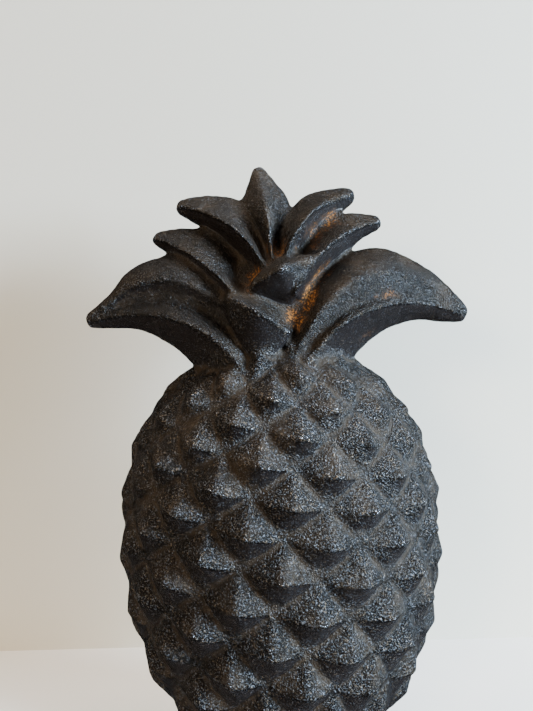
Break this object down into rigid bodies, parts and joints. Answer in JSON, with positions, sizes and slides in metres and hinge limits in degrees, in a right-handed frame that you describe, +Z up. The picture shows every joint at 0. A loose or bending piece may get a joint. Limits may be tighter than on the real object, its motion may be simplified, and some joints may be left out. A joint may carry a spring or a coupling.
{
  "type": "cast iron pineapple ornament",
  "caption": "Flat-backed cast iron pineapple that stands on its cut foot, a half-round fruit of diamond scales under a low, wide crown of ridged leaves.",
  "frame": {"origin": "under the middle of the bounding box, on the plane of the flat foot", "axes": "+Z up through the crown, the carved front faces -Y, the flat back faces +Y, +X to the viewer's right"},
  "size_m": [0.1766, 0.0562, 0.2661],
  "materials": {
    "cast_iron": "sand-cast iron, almost black brown and satin, rubbed paler on ridges, with brown in the grooves and a little orange rust in the crown"
  },
  "bodies": {
    "root": {"pineapple_casting": "cast_iron"}
  },
  "joints": []
}
